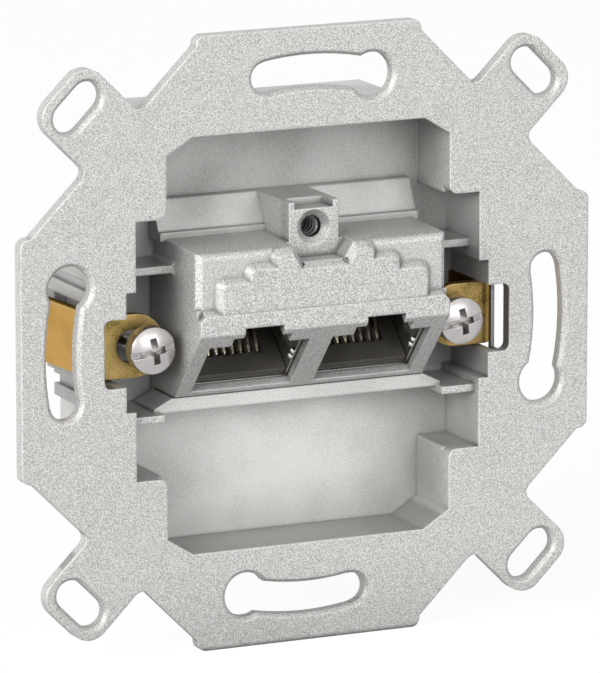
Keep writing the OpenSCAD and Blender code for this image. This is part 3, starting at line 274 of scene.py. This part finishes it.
def yellow_passivate():
    """Yellow passivated sheet: speckled gold that drifts to olive, with fine rolling lines. The arm
    behind the plate is warmer, with painted shade on its inner side, which follows the arm's slope.
    Edges are lighter from rubbed wear and painted highlight, and recesses get painted shade."""
    made, tree, shader, place = new_finish("yellow_passivate")
    wide, depth, _ = spans(tree, place)
    drift = noise(tree, place, scale=260.0, detail=2.0, roughness=0.5)
    lines = noise(tree, place, scale=1500.0, detail=3.0, roughness=0.6, stretch=(1.0, 1.0, 7.0))
    grain = noise(tree, place, scale=6500.0, detail=2.0, roughness=0.6)
    skin = weigh(tree, lines, grain, share=0.5)
    soft, edge = rub(tree, radius=0.00022)
    spread = maths(tree, "SUBTRACT", wide, grows(tree, depth, ARM_RUN, ARM_SLOPE))
    # Painted shade on the arm's inner side, darkening both colour and sheen
    inner_shade = maths(tree, "MULTIPLY", fades(tree, spread, ARM_INNER_SIDE, share=0.85),
                   grows(tree, depth, ARM_START))
    colour = ramp(tree, weigh(tree, drift, grain, share=0.5), [
        (0.37, (0.17, 0.13, 0.04)), (0.47, (0.41, 0.29, 0.09)),
        (0.55, (0.56, 0.38, 0.15)), (0.64, (0.35, 0.29, 0.085)),
    ])
    colour = tint(tree, grows(tree, depth, ARM_START, share=0.65), colour, WARM_GOLD)
    # Edges lighter and less metallic: rubbed wear and painted highlight
    colour = tint(tree, maths(tree, "MULTIPLY", edge, 0.85), colour, RUBBED_GOLD_AND_HIGHLIGHT)
    colour = tint(tree, inner_shade, colour, INNER_SIDE_SHADE)
    join(tree, shader, {
        # Painted shade in recesses near the screw
        "Base Color": painted_corner_shade(tree, colour, reach=0.003, share=0.45),
        "Roughness": between(tree, skin, low=0.34, high=0.54),
        "Metallic": maths(tree, "SUBTRACT", 1.0, maths(tree, "MULTIPLY", edge, 0.55)),
        "Specular Tint": ramp(tree, inner_shade, [(0.0, OWN_SHEEN), (0.8, SHADED_SHEEN)]),
    })
    relief(tree, shader, skin, depth=0.000012, strength=0.5, normal=soft)
    return made


# Edge colour from rubbed wear and painted highlight
RUBBED_STEEL_AND_HIGHLIGHT = (0.95, 0.94, 0.93)


def bright_plate(name, tone, low, high):
    """Bright plated steel with faint stains and drawing marks, its roughness from low to high."""
    made, tree, shader, place = new_finish(name)
    stain = noise(tree, place, scale=420.0, detail=3.0, roughness=0.6)
    marks = noise(tree, place, scale=3800.0, detail=3.0, roughness=0.7, stretch=(1.0, 3.0, 1.0))
    soft, edge = rub(tree, radius=0.00014)
    colour = ramp(tree, stain, [(0.3, tuple(0.86 * part for part in tone)), (0.6, tone)])
    # Edges lighter: rubbed wear and painted highlight
    colour = tint(tree, maths(tree, "MULTIPLY", edge, 0.5), colour, RUBBED_STEEL_AND_HIGHLIGHT)
    join(tree, shader, {
        # Painted shade in recesses
        "Base Color": painted_corner_shade(tree, colour, reach=0.0007, share=0.6),
        "Roughness": between(tree, weigh(tree, marks, stain, share=0.4), low, high),
        "Metallic": 1.0,
    })
    relief(tree, shader, marks, depth=0.000004, strength=0.2, normal=soft)
    return made


def tapped(name, height, root, crest):
    """Cut thread round an axis along Y: painted shade in the roots, painted highlight on the
    crests.
    """
    made, tree, shader, place = new_finish(name)
    flat = add(tree, "ShaderNodeMapping", {
        "Vector": place, "Location": (0.0, 0.0, -height), "Scale": (1.0, 0.0, 1.0),
    }).outputs["Vector"]
    away = add(tree, "ShaderNodeVectorMath", {0: flat}, operation="LENGTH").outputs["Value"]
    marks = noise(tree, place, scale=5200.0, detail=2.0, roughness=0.6)
    # Painted shade in the thread's roots and painted highlight on its crests
    root_to_crest = between(tree, away, 0.0, 0.8, root, crest)
    join(tree, shader, {
        "Base Color": ramp(tree, weigh(tree, root_to_crest, marks, share=0.2), [
            (0.12, (0.03, 0.029, 0.027)), (0.45, (0.26, 0.256, 0.245)), (0.80, (0.80, 0.79, 0.77)),
        ]),
        "Roughness": between(tree, marks, low=0.26, high=0.44),
        "Metallic": 0.6,
    })
    return made


def moulded(name, dark, light, low, high):
    """Moulded plastic with a fine spark-eroded skin, its roughness from low to high."""
    made, tree, shader, place = new_finish(name)
    skin = noise(tree, place, scale=4600.0, detail=3.0, roughness=0.6)
    cloud = noise(tree, place, scale=240.0, detail=2.0, roughness=0.5)
    soft, _ = rub(tree, radius=0.00012)
    join(tree, shader, {
        "Base Color": ramp(tree, weigh(tree, skin, cloud, share=0.5), [
            (0.35, dark), (0.65, light),
        ]),
        "Roughness": between(tree, skin, low, high),
    })
    relief(tree, shader, skin, depth=0.000012, strength=0.5, normal=soft)
    return made


def gilt():
    """Gold plated spring wire, a little duller where it is drawn."""
    made, tree, shader, place = new_finish("gilt")
    drawn = noise(tree, place, scale=3000.0, detail=2.0, roughness=0.6, stretch=(6.0, 1.0, 1.0))
    join(tree, shader, {
        "Base Color": ramp(tree, drawn, [(0.3, (0.44, 0.37, 0.26)), (0.65, (0.64, 0.56, 0.43))]),
        "Roughness": between(tree, drawn, low=0.16, high=0.30),
        "Metallic": 1.0,
    })
    relief(tree, shader, drawn, depth=0.000004, strength=0.4)
    return made


def solder_resist():
    """Green board lacquer over the weave of the glass cloth."""
    made, tree, shader, place = new_finish("solder_resist")
    turned = add(tree, "ShaderNodeMapping", {
        "Vector": place, "Rotation": (math.pi / 2, 0.0, 0.0),
    }).outputs["Vector"]
    cloth = add(tree, "ShaderNodeTexBrick", {
        "Vector": turned, "Scale": 900.0, "Mortar Size": 0.03,
    }).outputs["Fac"]
    cloud = noise(tree, place, scale=300.0, detail=3.0, roughness=0.5)
    join(tree, shader, {
        "Base Color": ramp(tree, weigh(tree, cloud, cloth, share=0.2), [
            (0.25, (0.016, 0.10, 0.045)), (0.7, (0.035, 0.19, 0.085)),
        ]),
        "Roughness": between(tree, cloud, low=0.22, high=0.36),
    })
    relief(tree, shader, cloth, depth=0.00001, strength=0.3)
    return made


BOSS_HEIGHT = 0.0128
FINISHES = {
    "zinc": cast_zinc("blasted_zinc", (0.37, 0.368, 0.355), (0.88, 0.878, 0.858)),
    "thread": tapped("tapped_zinc", BOSS_HEIGHT, root=0.00120, crest=0.00101),
    "claw": yellow_passivate(),
    "screw": bright_plate("bright_screw", (0.52, 0.495, 0.49), 0.24, 0.36),
    "sheet": bright_plate("tinned_sheet", (0.78, 0.78, 0.76), 0.22, 0.40),
    "tinned": bright_plate("tinned_contact", (0.78, 0.77, 0.73), 0.2, 0.38),
    "black": moulded("black_moulding", (0.060, 0.055, 0.046), (0.106, 0.098, 0.084), 0.36, 0.52),
    "cream": moulded("cream_moulding", (0.76, 0.73, 0.66), (0.84, 0.82, 0.76), 0.38, 0.5),
    "gilt": gilt(),
    "board": solder_resist(),
}

WEARS = {
    "front_housing": "zinc", "rear_cover": "zinc", "circuit_board": "board",
    "cable_clamp": "sheet",
    "clamp_screws": "screw", "cover_screws": "screw", "board_screws": "screw",
    "upper_terminal_block": "cream", "lower_terminal_block": "cream",
    "upper_terminal_contacts": "tinned", "lower_terminal_contacts": "tinned",
}
for hand in ("left", "right"):
    WEARS.update({
        hand + "_jack_body": "black", hand + "_contact_carrier": "black",
        hand + "_jack_contacts": "gilt", hand + "_jack_shield": "sheet",
        hand + "_claw": "claw", hand + "_claw_screw": "screw",
    })
for name, finish in WEARS.items():
    cad[name].data.materials.clear()
    cad[name].data.materials.append(FINISHES[finish])


# The camera, as the photograph was taken

def new_object(name, data):
    """An object of the scene, at the origin and unturned."""
    made = bpy.data.objects.new(name, data)
    bpy.context.scene.collection.objects.link(made)
    return made


def look(name, data, place, towards):
    """An object at a place, its own -Z turned towards a point."""
    made = new_object(name, data)
    made.location = place
    back = np.array(place, float) - np.array(towards, float)
    flat = math.hypot(back[0], back[1])
    made.rotation_euler = (math.atan2(flat, back[2]), 0.0, math.atan2(back[0], -back[1]))
    return made


EYE = np.array([-0.330, -0.7045, 0.16545])
SIGHT = np.array([0.41439, 0.88591, -0.20846])
camera = bpy.data.cameras.new("photo_camera")
camera.lens = 373.9
camera.sensor_width = 36.0
camera.clip_start, camera.clip_end = 0.05, 20.0
bpy.context.scene.camera = look("photo_camera", camera, EYE, EYE + SIGHT)


# Floor, backdrop and light

def grid_mesh(name, points, wrap_u=False, wrap_v=False):
    """A mesh from an array of points, rows by columns, with quads between neighbours."""
    rows, columns = points.shape[:2]
    index = np.arange(rows * columns).reshape(rows, columns)
    if wrap_u:
        index = np.vstack([index, index[:1]])
    if wrap_v:
        index = np.hstack([index, index[:, :1]])
    quads = np.stack([index[:-1, :-1], index[1:, :-1], index[1:, 1:], index[:-1, 1:]], axis=-1)
    made = bpy.data.meshes.new(name)
    made.from_pydata(points.reshape(-1, 3).tolist(), [], quads.reshape(-1, 4).tolist())
    made.update()
    return made


def floor_sheet(reach):
    """Level sheet under the object: x and y run over a square, z stays at the plate's foot."""
    across = np.linspace(-reach, reach, 3)
    x, y = np.meshgrid(across, across, indexing="ij")
    points = np.stack([x, y, np.full_like(x, cad_box[0][2])], axis=-1)
    return new_object("floor", grid_mesh("floor", points))


def seen_white(tree):
    """1 for rays that see the background: straight, mirrored or through glass."""
    path = add(tree, "ShaderNodeLightPath").outputs
    return maths(tree, "MAXIMUM", path["Is Camera Ray"], path["Is Glossy Ray"],
                 path["Is Transmission Ray"])


def grey(level):
    """A grey as a colour."""
    return (level, level, level, 1.0)


FLOOR_REACH = 6.0
FLOOR_LIT, FLOOR_SEEN, FLOOR_GLOW = 0.4, 0.14, 0.92
WORLD_LIT, WORLD_SEEN = 0.17, 1.0

floor = floor_sheet(FLOOR_REACH)
paper = bpy.data.materials.new("floor_paper")
paper.use_nodes = True
tree = paper.node_tree
tree.nodes.clear()
plain = add(tree, "ShaderNodeBsdfDiffuse", {"Color": grey(FLOOR_LIT)})
shade = add(tree, "ShaderNodeBsdfDiffuse", {"Color": grey(FLOOR_SEEN)})
glow = add(tree, "ShaderNodeEmission", {"Color": grey(1.0), "Strength": FLOOR_GLOW})
lit = add(tree, "ShaderNodeAddShader", {0: shade.outputs[0], 1: glow.outputs[0]})
both = add(tree, "ShaderNodeMixShader", {
    0: seen_white(tree), 1: plain.outputs[0], 2: lit.outputs[0],
})
add(tree, "ShaderNodeOutputMaterial", {"Surface": both.outputs[0]})
floor.data.materials.append(paper)

world = bpy.data.worlds.new("studio")
bpy.context.scene.world = world
world.use_nodes = True
tree = world.node_tree
tree.nodes.clear()
strength = between(tree, seen_white(tree), WORLD_LIT, WORLD_SEEN, 0.0, 1.0)
sky = add(tree, "ShaderNodeBackground", {"Color": grey(1.0), "Strength": strength})
add(tree, "ShaderNodeOutputWorld", {"Surface": sky.outputs[0]})


def soft_box(name, place, width, height, power):
    """Oblong area lamp turned towards the object."""
    made = bpy.data.lights.new(name, "AREA")
    made.shape = "RECTANGLE"
    made.size = width
    made.size_y = height
    made.energy = power
    return look(name, made, place, (0.0, 0.0, 0.0))


# The left lamp rakes over the plate, and the right one stands almost in front of it
soft_box("left_lamp", (-1.22, -0.52, 0.48), width=1.3, height=0.6, power=18.2)
soft_box("right_lamp", (0.16, -1.34, 0.46), width=1.2, height=0.6, power=7.1)
soft_box("top_lamp", (-0.25, -0.55, 1.25), width=1.2, height=0.6, power=0.7)


# The thread in the cover screw's hole and the spring leaves in the mouths

def hole_thread():
    """Ring of thread inside the boss: radius falls from the wall to the crest once per turn and
    pitch. Round the axis the wave is carried along it by one pitch per turn, with flat roots and
    crests; it runs out over one pitch at both ends, and the outer wall closes the ring."""
    wall, crest, pitch, gap = 1.245 * MM, 1.0 * MM, 0.8 * MM, 0.01 * MM
    front, back = -1.88 * MM, 4.2 * MM
    facets, steps_per_pitch = 72, 12
    steep, root_width = 1.25, 0.15
    around = np.linspace(0.0, 2.0 * math.pi, facets + 1)[:-1]
    run = np.linspace(front, back, steps_per_pitch * int((back - front) / pitch) + 1)
    turn, depth = np.meshgrid(around, run, indexing="ij")
    phase = ((depth - front) / pitch - turn / (2.0 * math.pi)) % 1.0
    wave = np.clip(steep * np.abs(2.0 * phase - 1.0) - root_width, 0.0, 1.0)
    ends = np.clip(np.minimum(depth - front, back - depth) / pitch, 0.0, 1.0)
    outer = np.full((facets, 2), wall)
    radius = np.hstack([wall - gap - (wall - crest) * ends * wave, outer])
    depth = np.hstack([depth, np.broadcast_to([back, front], outer.shape)])
    turn = np.hstack([turn, np.repeat(around[:, None], 2, axis=1)])
    points = np.stack([
        radius * np.cos(turn), depth, BOSS_HEIGHT + radius * np.sin(turn),
    ], axis=-1)
    made = new_object("cover_hole_thread", grid_mesh("cover_hole_thread", points, True, True))
    made.data.materials.append(FINISHES["thread"])
    return made


def mouth_springs(name, middle):
    """Four curled leaves at the sides of one mouth. Each leaf is half a turn of an ellipse that
    bows out of the shield's wall, with a second, smaller half turn behind it for its thickness,
    drawn along the mouth's height and closed by its own middle at both ends; then all points are
    tilted with the mouth. Lengths are in millimetres until the end."""
    wall, bulge = 5.98, 0.48
    leaf_depth, leaf_half, leaf_half_height = 1.75, 0.5, 0.32
    mouth_y, mouth_z, tilt = -6.1, 2.0, math.radians(41.0)
    half_turn = np.linspace(0.0, math.pi, 17)
    bow = np.concatenate([np.sin(half_turn), 0.7 * np.sin(half_turn[::-1])])
    run = np.concatenate([-np.cos(half_turn), -0.8 * np.cos(half_turn[::-1])])
    along = np.array([-1.0, -1.0, -0.86, 0.86, 1.0, 1.0])
    spread = np.array([0.0, 0.8, 1.0, 1.0, 0.8, 0.0])[:, None]
    work = bmesh.new()
    for side in (-1.0, 1.0):
        for height in (-7.15, -6.25):
            across = side * (wall - bulge * (0.5 + (bow - 0.5) * spread))
            depth = leaf_depth + leaf_half * run * spread
            up = height + leaf_half_height * np.repeat(along[:, None], bow.size, axis=1)
            points = np.stack([
                middle + across,
                mouth_y + depth * math.cos(tilt) - up * math.sin(tilt),
                mouth_z + depth * math.sin(tilt) + up * math.cos(tilt),
            ], axis=-1) * MM
            work.from_mesh(grid_mesh(name, points, False, True))
    bmesh.ops.remove_doubles(work, verts=work.verts, dist=1e-7)
    mesh = bpy.data.meshes.new(name)
    work.to_mesh(mesh)
    work.free()
    mesh.shade_smooth()
    made = new_object(name, mesh)
    made.data.materials.append(FINISHES["sheet"])
    return made


def outward(made):
    """Faces of a closed piece turned outwards."""
    work = bmesh.new()
    work.from_mesh(made.data)
    bmesh.ops.recalc_face_normals(work, faces=work.faces)
    work.to_mesh(made.data)
    work.free()
    return made


thread = outward(hole_thread())
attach(thread, "housing")
for name, middle in (("left_mouth_springs", -7.62), ("right_mouth_springs", 7.62)):
    springs = outward(mouth_springs(name, middle))
    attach(springs, "housing")


# View transform of the scene

scene = bpy.context.scene
scene.view_settings.view_transform = "Standard"
